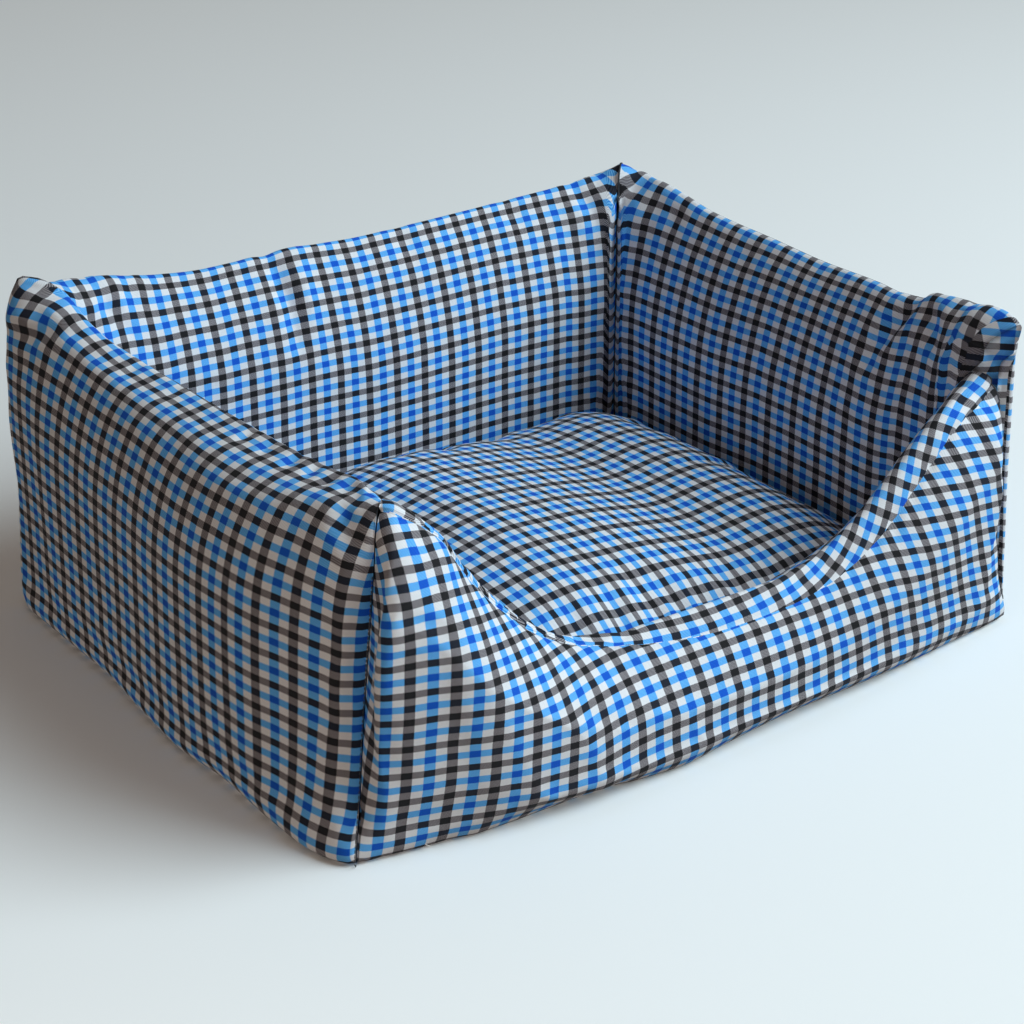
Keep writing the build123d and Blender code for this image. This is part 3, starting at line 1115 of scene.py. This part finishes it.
wall_cloth = check_cloth("check_twill")
cushion_cloth = check_cloth("cushion_twill", shift=(0.37, 0.21))
rings_of = {}
for side, spec in WALLS.items():
    wall, grid = make_wall(side, spec)
    rings_of[side] = grid
    place(wall, wall_cloth, "bed", "wall_check_cloth",
          (side + "_outer_panel", side + "_inner_panel", side + "_filling"), 0.85)

cushion = pillow("cushion", (116, 90), cushion_shape, turned=True, simulate=(2.2, 0.02, 5))
place(cushion, cushion_cloth, "cushion", "cushion_check_cloth",
      ("cushion_top_panel", "cushion_bottom_panel", "cushion_filling"), 0.75)

floor_pad = pillow("floor_pad", (64, 50), floor_pad_shape)
place(floor_pad, wall_cloth, "bed", "wall_check_cloth", ("floor_panel", "base_wadding"), 0.6)

base = pillow("base_cloth", (60, 48), base_shape)
place(base, base_cloth("non_slip_cloth"), "bed", "base_cloth", ("base_panel",))

# The stitched valley of every corner follows the end ring of one of the walls that meet there:
# the wall, its end, and the diagonal that runs across the seam.
CORNERS = {
    "front_left": (("left", -1), (1, -1)),
    "front_right": (("front", -1), (1, 1)),
    "back_left": (("back", -1), (-1, -1)),
    "back_right": (("right", -1), (-1, 1)),
}
front_seam = resample(rings_of["front"][2:84, RIDGE_AT - SEAM_STEPS], 150)
lip = sweep("front_scoop_seam", front_seam, (0.0, -1.0, 0.0), (1.0, 0.8), (0.0, 0.3))
place(lip, wall_cloth, "bed", "seam_cloth", ("front_outer_panel",), 0.9)
# Dark thread for the front left stitches, also laid on the other corners' valley strips as painted
# shade.
thread_and_valley_shade_look = thread_look("dark_thread_and_valley_shade", (0.02, 0.022, 0.03))
loose_look = thread_look("loose_thread", (0.72, 0.70, 0.66))
for corner, ((side, end_at), across) in CORNERS.items():
    ring = rings_of[side][end_at]
    across = np.array([across[0], across[1], 0.0]) / math.sqrt(2)
    name = corner + "_seam"
    slot_nodes = (corner + "_corner_seam",)
    if corner == "front_left":
        path = resample(ring[5 : RIDGE_AT - 9], 110)
        strip = sweep(name, path, across, (3.4, 0.9), (3.4, 3.6))
        left_edge = path + across * 0.2
        outward = np.array([-1.0, -1.0, 0.0]) / math.sqrt(2)
        lines = stitches(left_edge + outward * 3.9, 2.6, 3.3, outward * 0.3)
        sewing = threads(name + "_stitches", lines, 0.42)
        place(sewing, thread_and_valley_shade_look, "bed", "seam_cloth", slot_nodes)
        ends = [
            [(-285, -246, 176), (-284, -249, 172), (-281, -251, 166), (-280, -250, 161)],
            [(-272, -259, 12), (-268, -263, 9), (-262, -265, 8), (-258, -268, 10)],
            [(-270, -259, 10), (-266, -264, 6), (-262, -269, 4)],
        ]
        curls = [closed_curve(np.array([e]), 6)[0][: 6 * (len(e) - 1)] for e in ends]
        curls = [resample(curl, 12) for curl in curls]
        loose = threads(name + "_loose_ends", curls, 0.3)
        place(loose, loose_look, "bed", "seam_cloth", slot_nodes)
        place(strip, wall_cloth, "bed", "seam_cloth", slot_nodes, 0.9)
    else:
        # This thin strip in the corner valley wears the dark thread colour: painted shade of the
        # valley.
        path = resample(ring[9 : AROUND - 9], 190)
        strip = sweep(name, path, across, (0.8, 0.7), (0.0, -0.1))
        place(strip, thread_and_valley_shade_look, "bed", "seam_cloth", slot_nodes, 0.9)


# ---------------------------------------------------------------- stage
def look_at(obj, target):
    direction = Vector(target) - obj.location
    obj.rotation_euler = direction.to_track_quat("-Z", "Y").to_euler()


def area_light(name, place, target, size, power, colour):
    light = bpy.data.lights.new(name, "AREA")
    light.shape = "SQUARE"
    light.size = size
    light.energy = power
    light.color = colour
    obj = bpy.data.objects.new(name, light)
    obj.location = place
    bpy.context.collection.objects.link(obj)
    look_at(obj, target)


camera = bpy.data.objects.new("camera", bpy.data.cameras.new("camera"))
bpy.context.collection.objects.link(camera)
AZIMUTH, ELEVATION = math.radians(-36.205), math.radians(23.668)
TARGET = Vector((0.0012, -0.0012, 0.0852))
DISTANCE = 2.0874
back = Vector((math.sin(AZIMUTH) * math.cos(ELEVATION), -math.cos(AZIMUTH) * math.cos(ELEVATION),
               math.sin(ELEVATION)))
camera.location = TARGET + back * DISTANCE
look_at(camera, TARGET)
camera.data.sensor_width = 36
camera.data.lens = 93.63
bpy.context.scene.camera = camera

FAR = 6000
ground = new_mesh("ground", [(-FAR, -FAR, 0), (FAR, -FAR, 0), (FAR, FAR, 0), (-FAR, FAR, 0)],
                  [(0, 1, 2, 3)])
floor_look = Nodes("ground")
floor_look.shader.inputs["Base Color"].default_value = (0.95, 0.95, 0.95, 1)
floor_look.shader.inputs["Roughness"].default_value = 0.9
dress(ground, floor_look.material)
ground.visible_diffuse = False

world = bpy.data.worlds.new("world")
bpy.context.scene.world = world
world.use_nodes = True
background = world.node_tree.nodes["Background"].inputs
background[0].default_value = (1.0, 0.86, 0.74, 1)
background[1].default_value = 0.195
key_from = Vector((0.526, -0.576, 0.626)) * 4.6
area_light("key", key_from + Vector((0, 0, 0.1)), (0, 0, 0.1), 3.3, 270, (0.75, 0.92, 1.0))
area_light("fill", (-0.95, -0.78, 0.32), (-0.3, -0.15, 0.1), 0.5, 1.25, (1.0, 0.86, 0.74))
bpy.context.scene.view_settings.view_transform = "Standard"
